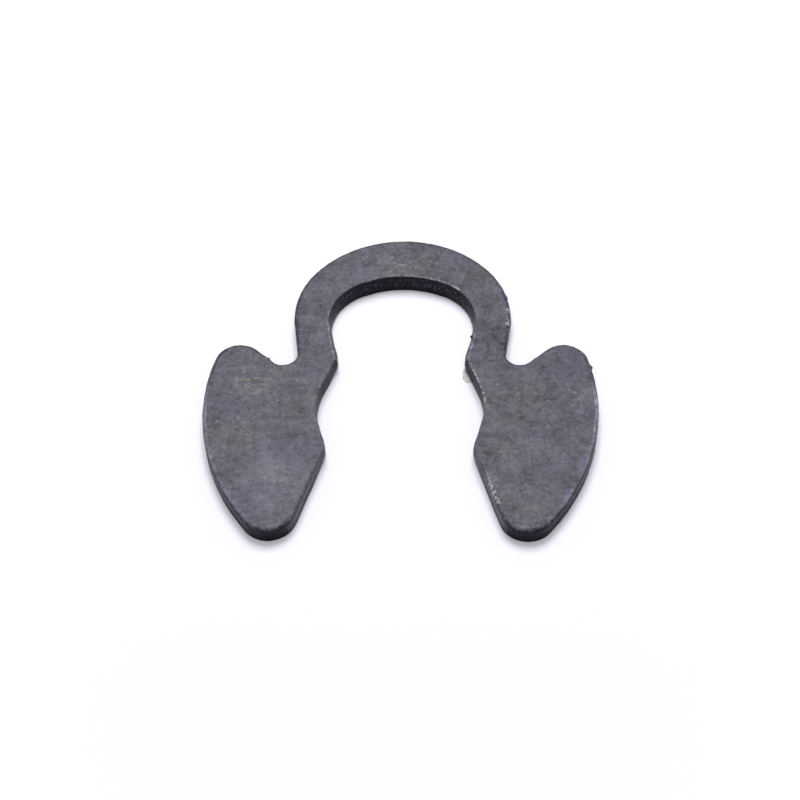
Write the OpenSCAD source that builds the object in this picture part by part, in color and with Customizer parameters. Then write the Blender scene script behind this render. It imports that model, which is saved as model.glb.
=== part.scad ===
// Open-bow radial retaining clip (an e-clip with no centre prong), stamped from spring steel strip.
//
// The clip lies flat on Z = 0. The origin is on the axis of the shaft groove that the two jaws grip,
// +Y points to the crown of the bow and -Y to the mouth, through which the shaft goes in.
//
// The outline is one closed chain of arcs joined by tangent lines. It is worked out for the right-hand
// half, clockwise from the crown, and mirrored about the plane X = 0.

/* [Strip] */
// Thickness of the strip
strip_t = 0.9; // [0.6:0.05:1.5]
// How far the rolled upper edge reaches in from the outline
roll_w = 0.15; // [0.05:0.01:0.2]
// How far the rolled upper edge drops below the top face
roll_h = 0.14; // [0.05:0.01:0.3]

/* [Seat] */
// Diameter of the seat that the two jaws form around the shaft groove
seat_d = 8; // [7.2:0.1:8.8]
// Angle that the seat reaches up each jaw, towards the bow
seat_up = 20; // [15:0.5:23]
// Angle that the seat reaches down each jaw, towards the mouth
seat_down = 13.5; // [10:0.5:18]
// Length of the straight lead between the seat and each jaw corner
lead = 1.65; // [1.3:0.05:2]
// Rounding of the jaw corner at the neck
neck_corner_r = 0.3; // [0.2:0.05:0.5]
// Rounding of the jaw corner at the mouth
mouth_corner_r = 0.35; // [0.2:0.05:0.5]

/* [Bow] */
// Height of the bow's centre above the seat axis
bow_y = 6.1; // [5.8:0.05:6.5]
// Outer radius of the bow's crown
bow_r = 5.4; // [5.2:0.05:5.6]
// Width of the strip at the crown
crown_w = 2.87; // [2.2:0.01:3.2]
// Angle from the top of the crown at which the outside turns into the shoulder
shoulder_at = 40; // [25:1:50]
// Outer radius of the shoulder
shoulder_r = 5.15; // [5:0.05:5.4]
// Inner radius of the bow at the crown
eye_r = 4.5; // [4.2:0.05:5]
// Angle from the top of the crown at which the inside turns into its shoulder
eye_shoulder_at = 22.5; // [18:0.5:26]
// Inner radius of the shoulder
eye_shoulder_r = 2.7; // [2.4:0.05:2.9]

/* [Notch] */
// Radius of the notch between the bow and the ear
notch_r = 0.7; // [0.6:0.02:0.86]
// How far the notch draws the neck in from the widest point of the shoulder
neck_draw = 0.34; // [0.3:0.01:0.7]
// Height of the notch's centre above the seat axis
notch_y = 3.3; // [2.9:0.02:3.5]

/* [Ear] */
// Distance from the notch's centre out to the lobe's centre
lobe_out = 2.18; // [2.05:0.01:2.6]
// Height of the lobe's centre above the seat axis
lobe_y = 2.82; // [2.4:0.02:3]
// Radius of the lobe at the shoulder of the ear
lobe_r = 1.2; // [0.9:0.02:1.3]
// Radius of the ear's long outer side
side_r = 11.6; // [9:0.1:15]
// Distance of the tip's centre from the middle plane
tip_x = 5.88; // [5:0.02:6.4]
// Distance of the tip's centre below the seat axis
tip_y = 6.12; // [5.2:0.02:7]
// Radius of the ear's rounded tip
tip_r = 1.3; // [0.9:0.02:1.5]

/* [Hidden] */

// Kinds of arc: the steel lies inside a BULGE and outside a HOLLOW.
BULGE = 1;
HOLLOW = -1;

// Joints are worked out on circles smaller by this much, so that the lines and arcs of the outline
// cross there and never merely touch
nip = 0.0008;
// Length of the short tangent line between two arcs that would otherwise touch directly
bridge = 0.2;
// How far an arc runs on past its chord, inside its neighbours
lap = 0.15;
// How far an edge cutter stands clear of the faces it cuts, and runs on past its joints
clear = 0.1;
overrun = 0.03;
// Smoothness of the round pieces
fine = 96;

seat_r = seat_d / 2;

function dir(angle) = [cos(angle), sin(angle)];
function bearing(v) = atan2(v.y, v.x);
// A vector turned a quarter-turn anticlockwise
function turned(v) = [-v.y, v.x];

// Centre of the jaw corner of radius r that ends the straight lead from the end of the seat. The
// lead leaves the seat at the given angle, and side is 1 for the upper end and -1 for the lower.
function corner_centre(angle, r, side) = (seat_r + r) * dir(angle) + side * lead * turned(dir(angle));

// Centre of the arc of radius r2 that carries on, clockwise, from an arc of radius r1. The bridge
// between them leaves the first at the given angle.
function next_centre(c1, r1, r2, angle) = c1 + (r1 - r2) * dir(angle) - bridge * turned(dir(angle));

// Centre of the circle of radius r around two smaller circles, with a bridge to each of them
function holding_centre(c1, r1, c2, r2, r) =
    let (
        span = norm(c2 - c1),
        ahead = (c2 - c1) / span,
        far1 = norm([r - r1, bridge]),
        far2 = norm([r - r2, bridge]),
        along = (far1 * far1 - far2 * far2 + span * span) / (2 * span)
    )
    c1 + along * ahead - sqrt(far1 * far1 - along * along) * turned(ahead);

crown_c = [0, bow_y];
shoulder_c = next_centre(crown_c, bow_r, shoulder_r, 90 - shoulder_at);
notch_c = [shoulder_c.x + shoulder_r - neck_draw + notch_r, notch_y];
lobe_c = [notch_c.x + lobe_out, lobe_y];
tip_c = [tip_x, -tip_y];
eye_c = [0, bow_y + bow_r - crown_w - eye_r];

// Each arc of the right-hand half: its centre, radius and kind
ARCS = [
    [crown_c, bow_r, BULGE],
    [shoulder_c, shoulder_r, BULGE],
    [notch_c, notch_r, HOLLOW],
    [lobe_c, lobe_r, BULGE],
    [holding_centre(lobe_c, lobe_r, tip_c, tip_r, side_r), side_r, BULGE],
    [tip_c, tip_r, BULGE],
    [corner_centre(-seat_down, mouth_corner_r, -1), mouth_corner_r, BULGE],
    [[0, 0], seat_r, HOLLOW],
    [corner_centre(seat_up, neck_corner_r, 1), neck_corner_r, BULGE],
    [next_centre(eye_c, eye_r, eye_shoulder_r, 90 - eye_shoulder_at), eye_shoulder_r, HOLLOW],
    [eye_c, eye_r, HOLLOW],
];
// The crown and the eye lie across the middle plane. The arcs between them come in pairs.
CROWN = 0;
EYE = len(ARCS) - 1;

function centre(i) = ARCS[i][0];
function radius(i) = ARCS[i][1];
function kind(i) = ARCS[i][2];

// Outward normal of the line that joins arc i to the next one
function joint_normal(i) =
    let (
        step = centre(i + 1) - centre(i),
        cosine = (kind(i) * (radius(i) - nip) - kind(i + 1) * (radius(i + 1) - nip)) / norm(step)
    )
    dir(bearing(step) + acos(cosine));

// The point of arc i whose outward normal is n
function arc_point(i, n) = centre(i) + kind(i) * (radius(i) - nip) * n;
function mirrored(p) = [-p.x, p.y];
function arc_start(i) = i == CROWN ? mirrored(arc_end(CROWN)) : arc_point(i, joint_normal(i - 1));
function arc_end(i) = i == EYE ? mirrored(arc_start(EYE)) : arc_point(i, joint_normal(i));

// Ends of all the arcs, anticlockwise round the whole outline
RIGHT = [for (i = [EYE:-1:CROWN]) each [if (i < EYE) arc_end(i), if (i > CROWN) arc_start(i)]];
LEFT = [for (i = [len(RIGHT) - 1:-1:0]) mirrored(RIGHT[i])];

// The part of arc i's circle that lies beyond the arc's chord, and a little more
module cap(i) {
    chord = arc_end(i) - arc_start(i);
    along = chord / norm(chord);
    out = kind(i) * turned(along);
    foot = (arc_start(i) + arc_end(i)) / 2 - lap * out;
    half = (norm(chord) / 2 + lap) * along;
    reach = 2 * radius(i) * out;
    intersection() {
        translate(centre(i)) circle(r = radius(i), $fn = fine);
        polygon([foot + half, foot + half + reach, foot - half + reach, foot - half]);
    }
}

module caps(which) {
    for (i = [CROWN:EYE])
        if (kind(i) == which) {
            cap(i);
            if (i != CROWN && i != EYE) mirror([1, 0]) cap(i);
        }
}

module outline() {
    difference() {
        union() {
            polygon(concat(RIGHT, LEFT));
            caps(BULGE);
        }
        caps(HOLLOW);
    }
}

// Section that cuts the rolled edge, with X outward from the outline and Y up. Two flats follow a
// quarter of an ellipse from the side wall to the top face.
module roll_section() {
    shy = 1 - cos(45);
    foot = [0, strip_t - roll_h];
    mid = [-shy * roll_w, strip_t - shy * roll_h];
    crest = [-roll_w, strip_t];
    lower = foot + (foot - mid);
    upper = crest + (crest - mid);
    polygon([lower, [clear, lower.y], [clear, upper.y], upper, mid]);
}

module roll_on_arc(i) {
    extra = asin(overrun / radius(i));
    first = bearing(arc_start(i) - centre(i));
    last = bearing(arc_end(i) - centre(i));
    sweep = (kind(i) * (first - last) + 360) % 360 + 2 * extra;
    low = (kind(i) == BULGE ? last : first) - extra;
    translate(centre(i))
        rotate_extrude(angle = sweep, start = low, $fn = fine)
        translate([radius(i), 0])
        scale([kind(i), 1])
        roll_section();
}

// Cuts along the line that joins arc i to the next one
module roll_on_line(i) {
    line = arc_start(i + 1) - arc_end(i);
    translate(arc_end(i))
        rotate([0, 0, bearing(line)])
        translate([-overrun, 0, 0])
        rotate([90, 0, 90])
        linear_extrude(norm(line) + 2 * overrun)
        roll_section();
}

module roll_on_side() {
    for (i = [CROWN + 1:EYE - 1]) roll_on_arc(i);
    for (i = [CROWN:EYE - 1]) roll_on_line(i);
}

module clip() {
    color("dimgray") difference() {
        linear_extrude(strip_t) outline();
        roll_on_arc(CROWN);
        roll_on_arc(EYE);
        roll_on_side();
        mirror([1, 0, 0]) roll_on_side();
    }
}

clip();
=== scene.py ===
"""Looks of the e-clip: a stamped spring-steel clip, dull with phosphate and oil, on a white floor.

The clip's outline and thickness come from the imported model. Over them this script builds the finer
shape that the press leaves. The outside was blanked from above, so its upper edge is rolled over,
most round the tips of the ears. The inside was pierced from below, so its wall leans back towards a
crisp upper edge and its lower edge is rolled, most at the corners of the jaws. The wall has a
smooth band and a torn band, with a few burrs. A pale flake is stuck at the foot of the right jaw.
"""

import math

import bmesh
import bpy
import numpy as np
from mathutils import Matrix, Vector, geometry, noise


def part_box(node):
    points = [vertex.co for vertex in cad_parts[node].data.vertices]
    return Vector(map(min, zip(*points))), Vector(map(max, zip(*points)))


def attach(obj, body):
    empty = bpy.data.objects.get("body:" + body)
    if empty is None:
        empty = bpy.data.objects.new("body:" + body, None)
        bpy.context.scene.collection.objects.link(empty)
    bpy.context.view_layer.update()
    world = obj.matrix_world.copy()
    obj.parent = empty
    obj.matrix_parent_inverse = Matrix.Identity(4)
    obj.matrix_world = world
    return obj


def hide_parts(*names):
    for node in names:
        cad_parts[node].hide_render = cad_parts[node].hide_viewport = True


MM = 0.001
NODE = "clip"

# Spacing of the points round the outline
STEP = 0.045 * MM
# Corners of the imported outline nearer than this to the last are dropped, in mm
SHORTEST = 0.04
# Faces whose normal has a Z below this belong to the underside
FACING_DOWN = -0.99
# Blur of the outline's normals and of its bends, and how sharply a tight corner turns, in radians
# per mm
NORMAL_BLUR = 0.03 * MM
BEND_BLUR = 0.45 * MM
TIGHT_TURN = 0.8
# The rolled edge outside: width on a straight side, what a convex corner adds, what a hollow takes
# away, depth as a multiple of the width, and number of rows of points
ROLL_WIDTH = 0.14 * MM
ROLL_ON_CONVEX = 0.06 * MM
ROLL_ON_HOLLOW = 0.07 * MM
ROLL_DEPTH = 1.4
ROLL_ROWS = 9
# The edge inside: width of its roll, how far the wall leans back at the jaws and how much further
# at the eye, the share of the wall that stays upright below, and the Y in mm at which the jaws end
# and the eye begins
CRISP_WIDTH = 0.05 * MM
LEAN_AT_JAWS = 0.02 * MM
LEAN_AT_EYE = 0.11 * MM
LEAN_FROM = 0.35
JAWS_TO_EYE = (2.0, 4.4)
# The part of the clip that has an inside: its half-width, its lowest point, and a point that all of
# the inside faces, in mm. Then how gradually each of the three counts: the first two over a length
# in mm, the last over a cosine. Then the blur of the whole.
INSIDE_HALF = 4.8
INSIDE_LOW = -4.4
INSIDE_POINT = (0, 2)
HALF_FADE = 0.4
LOW_FADE = 0.8
FACING_FADE = 0.2
INSIDE_BLUR = 0.12 * MM
# The lower edge: its rounding outside, its roll inside, what a convex corner adds there, and rows
FOOT = 0.025 * MM
FOOT_INSIDE = 0.04 * MM
FOOT_ON_CONVEX = 0.26 * MM
FOOT_ROWS = 6
# The side wall: height, as a share, at which its smooth band meets the torn one, how far the tear
# eats in, how deep the streaks are, and number of rows
TORN_SHARE = 0.5
TORN_DEPTH = 0.012 * MM
STREAK_DEPTH = 0.004 * MM
WALL_ROWS = 14
# How far the whole edge wavers in and out
NIBBLES = 0.012 * MM
# How far the two rows on each flat face lie inside its edge
FLAT_NEAR = 0.02 * MM
FLAT_FAR = 0.09 * MM

# Burrs and bulges of the wall, as (x, y), reach, half-width along the outline, height above the
# floor and half-height, in mm
BURRS = [
    ((3.43, 4.64), 0.13, 0.06, 0.62, 0.11),
    ((-6.59, 2.98), 0.07, 0.07, 0.80, 0.11),
    ((9.33, 2.55), 0.10, 0.10, 0.74, 0.14),
    ((5.19, 7.35), 0.07, 0.11, 0.68, 0.12),
    ((5.36, 5.70), 0.06, 0.80, 0.60, 0.11),
    ((-3.40, 3.60), 0.09, 0.75, 0.30, 0.35),
    ((3.40, 3.60), 0.09, 0.75, 0.30, 0.35),
    ((-3.62, -2.00), 0.09, 0.65, 0.30, 0.35),
    ((3.62, -2.00), 0.09, 0.65, 0.30, 0.35),
]
# Stretches of the upper edge that are bright, as two ends, half-width and strength, in mm: worn
# bare steel, and round the eye also painted glints where its burrs catch the light
WORN_AND_GLINTS = [
    ((-3.62, 6.20), (-3.60, 4.75), 0.15, 0.9),
    ((-3.60, 4.75), (-3.35, 3.30), 0.15, 0.7),
    ((-2.60, 7.90), (-1.50, 8.45), 0.15, 0.6),
    ((-1.50, 8.45), (0.00, 8.75), 0.15, 0.7),
    ((0.00, 8.75), (1.50, 8.45), 0.15, 0.9),
    ((1.50, 8.45), (2.80, 7.80), 0.15, 1.2),
    ((3.40, 6.60), (3.60, 5.60), 0.15, 0.7),
    ((3.55, 4.60), (3.30, 3.20), 0.15, 0.9),
    ((3.30, 3.20), (4.09, 0.19), 0.15, 0.9),
    ((-3.23, 2.98), (-3.23, 2.98), 0.08, 1.6),
    ((-3.92, 1.20), (-3.92, 1.20), 0.08, 1.6),
    ((4.25, -4.60), (4.62, -5.55), 0.30, 2.4),
    ((9.41, 0.57), (9.22, -2.22), 0.15, 0.9),
    ((8.83, -4.01), (8.04, -5.74), 0.15, 0.9),
    ((5.35, 6.30), (5.28, 5.02), 0.15, 1.3),
    ((-9.40, 0.20), (-8.90, -4.00), 0.15, 0.4),
]
# A pale flake stuck at the foot of the right neck corner: its middle, radii, thickness and curl, mm
FLAKE_X, FLAKE_Y = 3.36, 2.68
FLAKE_ACROSS, FLAKE_ALONG = 0.35, 0.50
FLAKE_THICK = 0.04
FLAKE_CURL = 0.12


# --- Outline -------------------------------------------------------------------------------------


def underside_outline(node):
    """Corners of the node's outline on its underside, anticlockwise from above: an (n, 2) array."""
    mesh = node.data
    points = {}
    following = {}
    for face in mesh.polygons:
        if face.normal.z > FACING_DOWN:
            continue
        corners = [tuple(round(c / MM, 5) for c in mesh.vertices[i].co) for i in face.vertices]
        for a, b in zip(corners, corners[1:] + corners[:1]):
            points[a] = a[:2]
            if following.get(b, {}).pop(a, None) is None:
                following.setdefault(a, {})[b] = True
    start = here = min(a for a in following if following[a])
    loop = []
    while not loop or here != start:
        if not loop or math.dist(points[here], loop[-1]) > SHORTEST:
            loop.append(points[here])
        here = next(iter(following[here]))
    return np.array(loop[::-1]) * MM


def resampled(loop, step):
    """The loop as evenly spaced points on a smooth curve through its corners."""
    chord = np.linalg.norm(np.roll(loop, -1, 0) - loop, axis=1)
    tangent = np.roll(loop, -1, 0) - np.roll(loop, 1, 0)
    tangent /= np.linalg.norm(tangent, axis=1)[:, None]
    ends = np.concatenate([[0], np.cumsum(chord)])
    count = round(ends[-1] / step)
    s = np.arange(count) * ends[-1] / count
    i = np.searchsorted(ends, s, side="right") - 1
    j = (i + 1) % len(loop)
    t = ((s - ends[i]) / chord[i])[:, None]
    lead = chord[i][:, None]
    return (
        (2 * t**3 - 3 * t**2 + 1) * loop[i]
        + (t**3 - 2 * t**2 + t) * lead * tangent[i]
        + (3 * t**2 - 2 * t**3) * loop[j]
        + (t**3 - t**2) * lead * tangent[j]
    )


def smoothed(values, width):
    """Values round the outline, blurred over the given width in metres."""
    frequency = np.fft.fftfreq(len(values), STEP)
    keep = np.exp(-2 * (math.pi * frequency * width) ** 2)
    if values.ndim == 2:
        keep = keep[:, None]
    return np.real(np.fft.ifft(np.fft.fft(values, axis=0) * keep, axis=0))


def outward(loop):
    along = np.roll(loop, -1, 0) - np.roll(loop, 1, 0)
    normal = smoothed(np.stack([along[:, 1], -along[:, 0]], 1), NORMAL_BLUR)
    return normal / np.linalg.norm(normal, axis=1)[:, None]


def convexity(normal):
    """1 on a tight convex corner, 0 on a straight side, -1 in a tight hollow."""
    turn = np.cross(normal, np.roll(normal, -1, 0)) / STEP
    return np.clip(smoothed(turn, BEND_BLUR) * MM / TIGHT_TURN, -1, 1)


def eased(values):
    """0 up to 0 and 1 from 1 on, and smooth between."""
    t = np.clip(values, 0, 1)
    return t * t * (3 - 2 * t)


def inside_share(loop, normal):
    """1 on the inside of the bow and the jaws, 0 on the outside of the clip."""
    towards = np.array(INSIDE_POINT) * MM - loop
    facing = (towards * normal).sum(1) / np.linalg.norm(towards, axis=1)
    x, y = (loop / MM).T
    share = eased(facing / FACING_FADE) * eased((INSIDE_HALF - np.abs(x)) / HALF_FADE)
    share *= eased((y - INSIDE_LOW) / LOW_FADE)
    return np.clip(smoothed(share, INSIDE_BLUR), 0, 1)


def ripple(points, height, size, seed):
    """Smooth noise of about -1 to 1 at points of the outline, with features of the given size."""
    return np.array(
        [noise.noise(Vector((x / size, y / size, height / size + seed))) for x, y in points]
    )


# --- The clip's mesh -----------------------------------------------------------------------------


def burr_at(loop, height):
    """How far the burrs stand out of the outline at this height."""
    out = np.zeros(len(loop))
    for place, reach, half, level, tall in BURRS:
        away = np.linalg.norm(loop - np.array(place) * MM, axis=1)
        at_edge = loop[np.argmin(away)]
        away = np.linalg.norm(loop - at_edge, axis=1)
        rise = math.exp(-(((height / MM - level) / tall) ** 2))
        out += reach * MM * rise * np.exp(-((away / (half * MM)) ** 2))
    return out


def worn_and_glint_at(points):
    """How bright the upper edge is, 0 to about 1: bare steel, and round the eye painted glints."""
    worn_and_glint = np.zeros(len(points))
    for a, b, half, strength in WORN_AND_GLINTS:
        a, b = np.array(a) * MM, np.array(b) * MM
        span = b - a
        t = np.clip((points - a) @ span / max(span @ span, 1e-12), 0, 1)
        away = np.linalg.norm(points - (a + t[:, None] * span), axis=1) / (half * MM)
        worn_and_glint = np.maximum(worn_and_glint, strength * np.exp(-(away**2)))
    return worn_and_glint


def clip_rows(loop, thick):
    """Rows of points from the underside, up the wall and over the upper edge to the top face. Each
    row is (x and y, height, how much of it is torn, how far it belongs to the upper edge)."""
    normal = outward(loop)
    nibbled = NIBBLES * (ripple(loop, 0, 0.45 * MM, 4.4) + 0.6 * ripple(loop, 0, 0.17 * MM, 9.2))
    bend = convexity(normal)
    inside = inside_share(loop, normal)

    # Upper edge
    hollow = np.maximum(3 * bend, -1)
    width = ROLL_WIDTH + np.where(bend > 0, ROLL_ON_CONVEX * bend, ROLL_ON_HOLLOW * hollow)
    width *= 1 + 0.12 * ripple(loop, 0, 0.9 * MM, 3.1) + 0.10 * ripple(loop, 0, 0.25 * MM, 8.7)
    crisp = CRISP_WIDTH * (1 + 0.25 * ripple(loop, 0, 0.15 * MM, 6.3))
    depth = ROLL_DEPTH * width * (1 - inside) + crisp * inside
    width = width * (1 - inside) + crisp * inside
    wall_top = thick - depth

    # Lean of the wall inside
    jaws, eye = JAWS_TO_EYE
    at_eye = eased((loop[:, 1] / MM - jaws) / (eye - jaws))
    lean = inside * (LEAN_AT_JAWS + LEAN_AT_EYE * at_eye)

    # Lower edge
    corner = inside * np.maximum(bend, 0)
    foot = FOOT * (1 - inside) + FOOT_INSIDE * inside + FOOT_ON_CONVEX * corner
    foot_top = foot * (1 + (ROLL_DEPTH - 1) * inside)

    rows = []

    def add(inset, height, out=0.0, torn=0.0, edge=0.0):
        spread = [np.broadcast_to(v, len(loop)) for v in (height, torn, edge)]
        rows.append((loop + (nibbled + out - inset)[:, None] * normal, *spread))

    add(foot + FLAT_FAR, 0, burr_at(loop, 0))
    add(foot + FLAT_NEAR, 0, burr_at(loop, 0))
    for k in range(FOOT_ROWS):
        a = math.pi / 2 * k / FOOT_ROWS
        height = foot_top * (1 - math.cos(a))
        add(foot * (1 - math.sin(a)), height, burr_at(loop, float(height.mean())))
    ragged = 0.1 * ripple(loop, 0, 0.5 * MM, 5.5) + 0.05 * ripple(loop, 0, 0.12 * MM, 2.2)
    for k in range(WALL_ROWS + 1):
        share = k / WALL_ROWS
        height = foot_top + share * (wall_top - foot_top)
        level = float(height.mean())
        above = share - TORN_SHARE - ragged
        torn = np.clip(0.5 + 4 * above * (2 * inside - 1), 0, 1)
        tear = torn * (0.5 + 0.5 * ripple(loop, level * 0.6, 0.10 * MM, 1.3))
        streak = STREAK_DEPTH * (1 - ripple(loop, level * 0.1, 0.06 * MM, 7.9))
        fade = min(1, 4 * share, 4 * (1 - share) + 0.15)
        back = lean * max(0, share - LEAN_FROM) / (1 - LEAN_FROM)
        out = burr_at(loop, level) - fade * (TORN_DEPTH * tear + streak) - back
        add(0, height, out, torn)
    for k in range(1, ROLL_ROWS + 1):
        a = math.pi / 2 * k / ROLL_ROWS
        height = thick - depth * (1 - math.sin(a))
        out = burr_at(loop, float(height.mean())) * math.cos(a) - lean
        add(width * (1 - math.cos(a)), height, out, edge=min(1, 2 * k / ROLL_ROWS))
    add(width + FLAT_NEAR, thick, -lean, edge=0.8)
    add(width + FLAT_FAR, thick, -lean)
    return rows


def filled(row, first, upward):
    """Triangles that fill the flat face inside a row whose points start at index first."""
    points = [Vector(p) for p in row / MM]
    n = len(points)
    edges = [(i, (i + 1) % n) for i in range(n)]
    made, _, faces, origin, _, _ = geometry.delaunay_2d_cdt(points, edges, [], 1, 1e-9)
    assert len(made) == n, f"the row crosses itself, {len(made)} points from {n}"
    index = [first + o[0] for o in origin]
    faces = [[index[i] for i in face] for face in faces]
    return faces if upward else [face[::-1] for face in faces]


def flake():
    """Points in mm and faces of the flake, a thin leaf that curls up at its free side."""
    ball = bmesh.new()
    bmesh.ops.create_uvsphere(ball, u_segments=32, v_segments=16, radius=1)
    points = []
    for vert in ball.verts:
        x, y, z = vert.co
        curl = FLAKE_CURL * max(0, -x) ** 2
        waver = 0.06 * noise.noise(Vector((3 * x, 3 * y, 0)))
        x = FLAKE_X + FLAKE_ACROSS * x * (1 + waver)
        y = FLAKE_Y + FLAKE_ALONG * y * (1 - waver)
        points.append((x, y, FLAKE_THICK * (0.55 + 0.5 * z) + curl))
    faces = [tuple(vert.index for vert in face.verts) for face in ball.faces]
    ball.free()
    return np.array(points), faces


def make_clip(cad):
    low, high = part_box(NODE)
    loop = resampled(underside_outline(cad), STEP)
    rows = clip_rows(loop, high.z - low.z)
    n = len(loop)
    verts = np.concatenate([np.column_stack([p, low.z + h]) for p, h, _, _ in rows])
    faces = []
    for k in range(len(rows) - 1):
        a = k * n
        for i in range(n):
            j = (i + 1) % n
            faces.append((a + i, a + j, a + n + j, a + n + i))
    faces += filled(rows[0][0], 0, upward=False)
    faces += filled(rows[-1][0], (len(rows) - 1) * n, upward=True)
    leaf, leaf_faces = flake()
    of_steel = len(verts)
    faces += [tuple(of_steel + i for i in face) for face in leaf_faces]
    verts = np.concatenate([verts, leaf * MM + [0, 0, low.z]])
    mesh = bpy.data.meshes.new("clip_steel")
    mesh.from_pydata(verts.tolist(), [], faces)
    mesh.validate()
    mesh.shade_smooth()

    # The last row of the rolled edge, before the two on the face
    crest = rows[-3][0]
    worn_and_glint = worn_and_glint_at(crest)
    outside = 1 - inside_share(loop, outward(loop))
    marks = {
        "torn": np.concatenate([torn for _, _, torn, _ in rows]),
        "worn_and_glint": np.concatenate([worn_and_glint * edge for _, _, _, edge in rows]),
        "rolled": np.concatenate([outside * edge for _, _, _, edge in rows]),
        "flake": np.zeros(of_steel),
    }
    for name, values in marks.items():
        values = np.append(values, np.full(len(leaf), float(name == "flake")))
        attribute = mesh.attributes.new(name, "FLOAT", "POINT")
        attribute.data.foreach_set("value", values.astype(np.float32))
    return add_object("clip_steel", mesh)


# --- Materials -----------------------------------------------------------------------------------


class Nodes:
    """The emptied node tree of a material or a world."""

    def __init__(self, owner):
        owner.use_nodes = True
        self.tree = owner.node_tree
        self.tree.nodes.clear()

    def add(self, kind, inputs=None, **settings):
        node = self.tree.nodes.new("ShaderNode" + kind)
        for key, value in settings.items():
            setattr(node, key, value)
        for key, value in (inputs or {}).items():
            self.join(node.inputs[key], value)
        return node

    def join(self, socket, value):
        if isinstance(value, bpy.types.NodeSocket):
            self.tree.links.new(value, socket)
        else:
            socket.default_value = value

    def math(self, operation, *values):
        node = self.add("Math", operation=operation)
        for socket, value in zip(node.inputs, values):
            self.join(socket, value)
        return node.outputs[0]

    def plus(self, first, *others):
        for other in others:
            first = self.math("ADD", first, other)
        return first

    def times(self, first, *others):
        for other in others:
            first = self.math("MULTIPLY", first, other)
        return first

    def vector(self, operation, *values):
        return self.add("VectorMath", dict(enumerate(values)), operation=operation)

    def ramp(self, value, low, high, start=0.0, end=1.0):
        """Goes smoothly from start to end as value goes from low to high, and stays there."""
        inputs = {"Value": value, "From Min": low, "From Max": high, "To Min": start, "To Max": end}
        return self.add("MapRange", inputs, interpolation_type="SMOOTHSTEP").outputs[0]

    def linear(self, value, low, high, start=0.0, end=1.0):
        """Goes straight from start to end as value goes from low to high, and on beyond."""
        inputs = {"Value": value, "From Min": low, "From Max": high, "To Min": start, "To Max": end}
        return self.add("MapRange", inputs, clamp=False).outputs[0]

    def swing(self, value, reach):
        """A noise turned into about -reach to reach."""
        return self.linear(value, 0.3, 0.7, -reach, reach)

    def mark(self, name):
        return self.add("Attribute", attribute_name=name).outputs["Fac"]

    def blob(self, where, x, y, across, along):
        """1 at a point of the face, fading to 0 at the given radii."""
        away = self.vector("SUBTRACT", where, (x, y, 0)).outputs[0]
        away = self.vector("MULTIPLY", away, (1 / across, 1 / along, 0)).outputs[0]
        return self.ramp(self.vector("LENGTH", away).outputs["Value"], 0, 1, 1, 0)

    def mix(self, factor, a, b):
        node = self.add("Mix", data_type="RGBA")
        for socket, value in zip((node.inputs[0], node.inputs[6], node.inputs[7]), (factor, a, b)):
            self.join(socket, value)
        return node.outputs[2]

    def scaled(self, vector, factor):
        return self.add("VectorMath", {0: vector, "Scale": factor}, operation="SCALE").outputs[0]

    def noise(self, where, scale, detail, roughness, offset):
        where = self.vector("ADD", where, (offset, -offset, offset)).outputs[0]
        inputs = {"Vector": where, "Scale": scale, "Detail": detail, "Roughness": roughness}
        return self.add("TexNoise", inputs).outputs["Fac"]


# Colours
COOL = (0.1145, 0.109, 0.147, 1)
WARM = (0.119, 0.116, 0.134, 1)
TAN = (0.172, 0.161, 0.158, 1)
# Painted shade of the walls: near-black where the sides turn away from the light, plain and scuffed
SHADED_WALL = (0.002, 0.002, 0.0055, 1)
SCUFFED_SHADED_WALL = (0.008, 0.0078, 0.017, 1)
# Painted sheen: the paler reflection shown by the mouth's flank walls that face sideways
FLANK_SHEEN = (0.055, 0.053, 0.068, 1)
# Bare steel, which also paints the glints along the eye's edge
BARE_AND_GLINT = (0.54, 0.535, 0.55, 1)
RUST = (0.085, 0.042, 0.034, 1)
PALE = (0.84, 0.85, 0.83, 1)
PAPER = (0.87, 0.865, 0.97, 1)

# Patches where the coating has gone tan and speckled, as (x, y), radii and strength, in mm
TANNED = [
    ((-0.2, 9.5), (2.4, 1.3), 1.5),
    ((-7.1, 1.5), (1.9, 1.6), 1.2),
    ((-7.7, -1.4), (0.8, 1.2), 1.2),
    ((-5.5, -4.2), (1.3, 1.0), 1.2),
    ((6.1, 0.3), (2.0, 1.2), 0.9),
    ((8.3, 0.5), (0.9, 1.2), 0.9),
    ((5.7, -6.6), (1.5, 1.0), 0.9),
]
# Patches that are lighter or darker than the rest, as (x, y), radii and change. They hold the
# coating's own patchy tone and also painted light: those on the left are lighter and those on the
# right darker, as if more light fell on the left
TONE_AND_LEFT_LIGHT = [
    ((4.4, 4.9), (1.8, 3.0), -0.16),
    ((-6.5, -1.0), (3.5, 6.0), 0.08),
    ((-5.6, -4.6), (2.6, 3.0), 0.36),
    ((7.2, -0.5), (3.0, 4.5), -0.08),
    ((-6.1, -6.3), (1.6, 1.5), 0.14),
]
# The rust spot's x, y and radii, in mm
RUST_SPOT = (4.17, -3.02, 0.3, 0.3)
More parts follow.
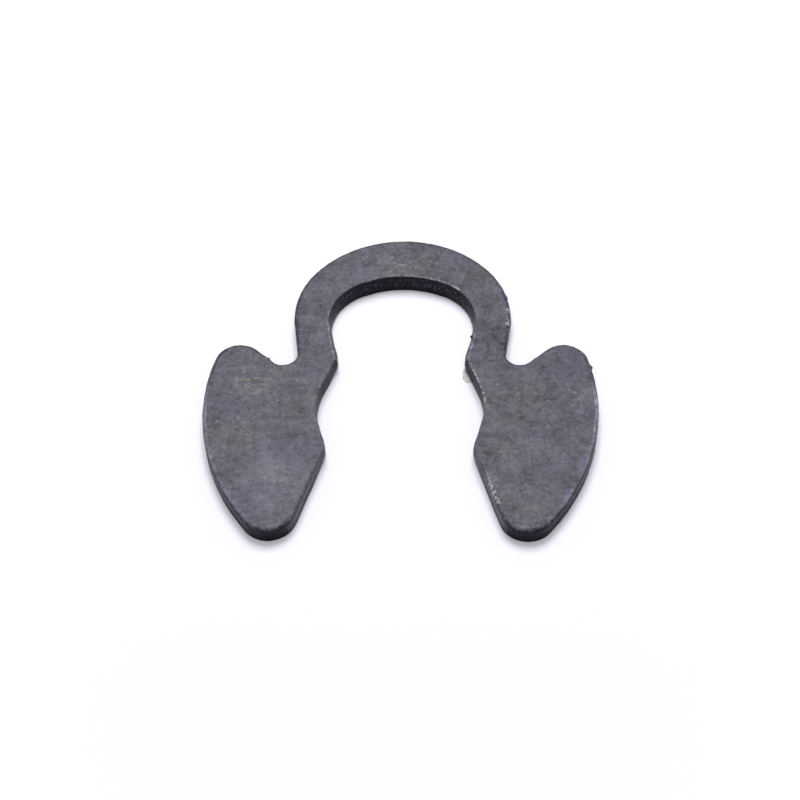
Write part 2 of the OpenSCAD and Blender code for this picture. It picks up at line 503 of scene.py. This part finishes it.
# Noises of the steel, as scale per mm, detail, roughness and offset: the slow drift from cool to
# warm, the clouds and the grain of the coating, how the tan patches and their flecks break up, the
# scuffs of the wall and the breaks in the painted sheen of its flanks, the border of face and
# painted wall shade, and the gaps in the worn edge and its painted glints
DRIFT = (0.55, 3, 0.6, 0)
CLOUD = (1.3, 6, 0.85, 11)
GRAIN = (6.0, 4, 0.75, 23)
TAN_BREAKS = (2.6, 4, 0.8, 31)
FLECKS = (4.5, 3, 0.75, 83)
SCUFFS = (1.5, 3, 0.6, 53)
FLANK_SHEEN_BREAKS = (5.0, 3, 0.7, 71)
BORDER = (7.0, 3, 0.7, 67)
WORN_AND_GLINT_GAPS = (5.0, 3, 0.8, 41)
# Cells per mm of the bare specks
SPECKS = 3.8
# Depth of the steel's fine unevenness
BUMP = 0.005 * MM


def tan_share(g, where):
    """How far the coating has gone tan, 0 to about 1.5, broken up by noise."""
    tan = 0.0
    for (x, y), (across, along), strength in TANNED:
        tan = g.math("MAXIMUM", tan, g.times(g.blob(where, x, y, across, along), strength))
    return g.times(tan, g.ramp(g.noise(where, *TAN_BREAKS), 0.44, 0.64))


def coating(g, where, cloud, grain, tan):
    """The mottled colour of the face, with painted light that is lighter on the left and darker on
    the right.
    """
    colour = g.mix(g.ramp(g.noise(where, *DRIFT), 0.38, 0.62), COOL, WARM)
    colour = g.mix(g.math("MINIMUM", tan, 0.8), colour, TAN)
    bright = g.plus(g.linear(cloud, 0.3, 0.7, 0.40, 1.60), g.swing(grain, 0.40))
    # Painted light: patches on the left lighten the face, those on the right darken it
    for (x, y), (across, along), change in TONE_AND_LEFT_LIGHT:
        bright = g.plus(bright, g.times(g.blob(where, x, y, across, along), change))
    return g.scaled(colour, bright)


def rim_shade_and_highlight(g, aside, along, cloud):
    """What the rolled edge adds: painted shade round the bow and the lobes, and a painted highlight
    along the outer sides of the ears.
    """
    pale = g.times(g.ramp(along, 0.5, 2.5, 0.48, 0), g.ramp(aside, 4.6, 5.4))
    return g.plus(pale, g.ramp(along, 0.5, 2.5, 0, -0.30), g.swing(cloud, 0.2))


def bare_specks(g, where, grain, tan):
    """Small bare specks all over the face, more and brighter where it is tan."""
    cells = g.add("TexVoronoi", {"Vector": where, "Scale": SPECKS})
    lot = g.add("SeparateColor", {0: cells.outputs["Color"]})
    chosen = g.math("GREATER_THAN", lot.outputs[0], g.linear(tan, 0, 1, 0.62, 0.25))
    reach = g.plus(cells.outputs["Distance"], g.swing(grain, 0.12))
    rank = g.math("POWER", lot.outputs[1], g.linear(tan, 0, 1, 3, 1.2))
    strength = g.linear(rank, 0, 1, 0.05, g.linear(tan, 0, 1, 0.45, 0.9))
    return g.times(chosen, g.ramp(reach, 0.02, 0.32, 1, 0), strength)


def wall_shade_and_sheen(g, where, aside, along, sideways):
    """Painted shade and sheen of the walls: near-black and slightly scuffed as shade, and a paler
    painted reflection on the flanks of the mouth that face sideways.
    """
    scuff = g.ramp(g.noise(where, *SCUFFS), 0.3, 0.75)
    # Painted reflection on the flanks of the mouth that face sideways
    flank_sheen = g.times(
        g.ramp(sideways, 0.6, 0.9),
        g.ramp(aside, 5.2, 5.8, 1, 0),
        g.ramp(along, -2.8, -1.8, 1, 0),
    )
    uneven = g.linear(g.noise(where, *FLANK_SHEEN_BREAKS), 0.3, 0.7, 0.3, 1.7)
    return g.mix(flank_sheen, g.mix(scuff, SHADED_WALL, SCUFFED_SHADED_WALL), g.scaled(FLANK_SHEEN[:3], uneven))


def steel():
    """Phosphated spring steel: a mottled grey face with painted light, walls painted near-black as
    shade with a painted sheen on their flanks, and bright bare specks, with painted glints round the
    eye.
    """
    material = bpy.data.materials.new("phosphated_steel")
    g = Nodes(material)
    where = g.scaled(g.add("TexCoord").outputs["Object"], 1 / MM)
    place = g.add("SeparateXYZ", {0: where})
    aside = g.math("ABSOLUTE", place.outputs["X"])
    along = place.outputs["Y"]
    normal = g.add("SeparateXYZ", {0: g.add("NewGeometry").outputs["Normal"]})
    sideways = g.math("ABSOLUTE", normal.outputs["X"])
    rim = g.mark("rolled")

    # Face
    cloud = g.noise(where, *CLOUD)
    grain = g.noise(where, *GRAIN)
    tan = tan_share(g, where)
    colour = coating(g, where, cloud, grain, tan)
    # Painted shade and highlight on the rolled edge outside
    colour = g.scaled(colour, g.plus(1, g.times(rim, rim_shade_and_highlight(g, aside, along, cloud))))
    flecks = g.ramp(g.noise(where, *FLECKS), 0.54, 0.64, 0, 0.6)
    colour = g.mix(g.times(flecks, g.ramp(tan, 0.6, 1.3)), colour, BARE_AND_GLINT)
    colour = g.mix(bare_specks(g, where, grain, tan), colour, BARE_AND_GLINT)
    spot = g.plus(g.blob(where, *RUST_SPOT), g.swing(grain, 0.3))
    colour = g.mix(g.ramp(spot, 0.2, 0.8, 0, 0.75), colour, RUST)

    # Walls, and the lower part of the rolled edge, with a blotchy border: painted shade, near-black
    # where the surface turns from facing up to facing sideways
    blotch = g.swing(g.noise(where, *BORDER), 0.35)
    face = g.ramp(g.plus(normal.outputs["Z"], blotch), 0.15, 0.8)
    colour = g.mix(face, wall_shade_and_sheen(g, where, aside, along, sideways), colour)

    # Worn edge with painted glints round the eye, and the flake
    bitten = g.ramp(g.noise(where, *WORN_AND_GLINT_GAPS), 0.46, 0.64)
    colour = g.mix(g.math("MINIMUM", g.times(g.mark("worn_and_glint"), bitten), 0.8), colour, BARE_AND_GLINT)
    colour = g.mix(g.mark("flake"), colour, PALE)

    rough = g.plus(
        g.linear(face, 0, 1, 0.36, 0.55),
        g.swing(grain, 0.06),
        g.times(g.mark("torn"), 0.08),
        g.times(rim, 0.25),
    )
    height = g.plus(grain, g.times(cloud, 1.5))
    bump = g.add("Bump", {"Height": height, "Distance": BUMP, "Strength": 1.0})
    inputs = {
        "Base Color": colour,
        "Roughness": rough,
        "Specular IOR Level": 0.12,
        "Normal": bump.outputs[0],
    }
    shader = g.add("BsdfPrincipled", inputs)
    g.add("OutputMaterial", {"Surface": shader.outputs[0]})
    return material


def seen_directly(g):
    """1 for a ray from the camera, a reflection or something clear, 0 for scattered light."""
    path = g.add("LightPath")
    seen = path.outputs["Is Camera Ray"]
    for name in ("Is Glossy Ray", "Is Transmission Ray"):
        seen = g.math("MAXIMUM", seen, path.outputs[name])
    return seen


def floor_paper():
    """White paper that keeps the clip's shadow, and goes over into the white backdrop far away."""
    material = bpy.data.materials.new("white_paper")
    g = Nodes(material)
    paper = g.add("BsdfDiffuse", {"Color": PAPER})
    away = g.vector("LENGTH", g.add("TexCoord").outputs["Object"]).outputs["Value"]
    glow = g.ramp(away, LIT_WITHIN, WHITE_BEYOND, FLOOR_LIFT, 1)
    lift = g.add("Emission", {"Strength": g.times(seen_directly(g), glow)})
    both = g.add("AddShader", {0: paper.outputs[0], 1: lift.outputs[0]})
    g.add("OutputMaterial", {"Surface": both.outputs[0]})
    return material


# --- Stage ---------------------------------------------------------------------------------------

# The camera's place and what it looks at, in mm, its lens, and its tilt in degrees
CAMERA_AT = (1.948, -47.098, 55.185)
CAMERA_AIM = (-0.0375, 1.0614, 0)
CAMERA_LENS = 67.604
CAMERA_TILT = -1.7292
# The floor, in metres: half its side, and its drop below the clip. It glows where it is seen, by
# FLOOR_LIFT within LIT_WITHIN of the clip's middle, growing to full white at WHITE_BEYOND.
FLOOR_HALF = 0.6
FLOOR_DROP = 0.002 * MM
FLOOR_LIFT = 0.18
LIT_WITHIN = 0.013
WHITE_BEYOND = 0.12
# Light from all round, and the softboxes: name, azimuth and elevation in degrees, distance and side
# in metres, and level
AMBIENT = 0.24
SOFTBOXES = [
    ("softbox_back", 0, 62, 0.3, 0.15, 0.70),
    ("softbox_top", 180, 78, 0.35, 0.3, 0.11),
]


def add_object(name, data):
    holder = bpy.data.objects.new(name, data)
    bpy.context.scene.collection.objects.link(holder)
    return holder


def make_floor():
    mesh = bpy.data.meshes.new("floor")
    corners = [(-1, -1), (1, -1), (1, 1), (-1, 1)]
    verts = [(FLOOR_HALF * x, FLOOR_HALF * y, -FLOOR_DROP) for x, y in corners]
    mesh.from_pydata(verts, [], [(0, 1, 2, 3)])
    mesh.materials.append(floor_paper())
    floor = add_object("floor", mesh)


def make_world():
    """White where it is seen, and dimmer as a light on the clip and the floor."""
    world = bpy.data.worlds.new("studio")
    bpy.context.scene.world = world
    g = Nodes(world)
    strength = g.linear(seen_directly(g), 0, 1, AMBIENT, 1)
    sky = g.add("Background", {"Color": (1, 1, 1, 1), "Strength": strength})
    g.add("OutputWorld", {"Surface": sky.outputs[0]})


def make_softbox(name, azimuth, elevation, distance, size, level):
    """A square lamp that faces the clip. level is what it adds to the light on the floor, where
    1 in all shows a colour as it is written."""
    a, e = math.radians(azimuth), math.radians(elevation)
    away = Vector((math.sin(a) * math.cos(e), math.cos(a) * math.cos(e), math.sin(e)))
    lamp = bpy.data.lights.new(name, "AREA")
    lamp.size = size
    lamp.energy = level * math.pi**2 * distance**2 / math.sin(e)
    holder = add_object(name, lamp)
    holder.location = away * distance
    holder.rotation_euler = away.to_track_quat("Z", "Y").to_euler()


def make_camera():
    camera = bpy.data.cameras.new("camera")
    camera.sensor_width = 36
    camera.lens = CAMERA_LENS
    camera.clip_start = 0.005
    camera.clip_end = 10
    holder = add_object("camera", camera)
    holder.location = Vector(CAMERA_AT) * MM
    towards = Vector(CAMERA_AIM) * MM - holder.location
    turn = towards.to_track_quat("-Z", "Y").to_matrix()
    tilt = Matrix.Rotation(math.radians(CAMERA_TILT), 3, "Z")
    holder.rotation_euler = (turn @ tilt).to_euler()
    bpy.context.scene.camera = holder


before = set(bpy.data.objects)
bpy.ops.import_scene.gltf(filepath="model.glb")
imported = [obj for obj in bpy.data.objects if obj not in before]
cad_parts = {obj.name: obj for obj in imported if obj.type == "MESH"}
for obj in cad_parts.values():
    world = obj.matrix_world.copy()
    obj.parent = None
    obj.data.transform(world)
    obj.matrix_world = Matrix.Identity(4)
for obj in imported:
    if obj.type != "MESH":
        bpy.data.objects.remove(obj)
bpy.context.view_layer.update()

make_camera()
piece = make_clip(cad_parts[NODE])
piece.data.materials.append(steel())
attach(piece, "root")
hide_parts(NODE)

make_floor()
make_world()
for softbox in SOFTBOXES:
    make_softbox(*softbox)

bpy.context.scene.view_settings.view_transform = "Standard"
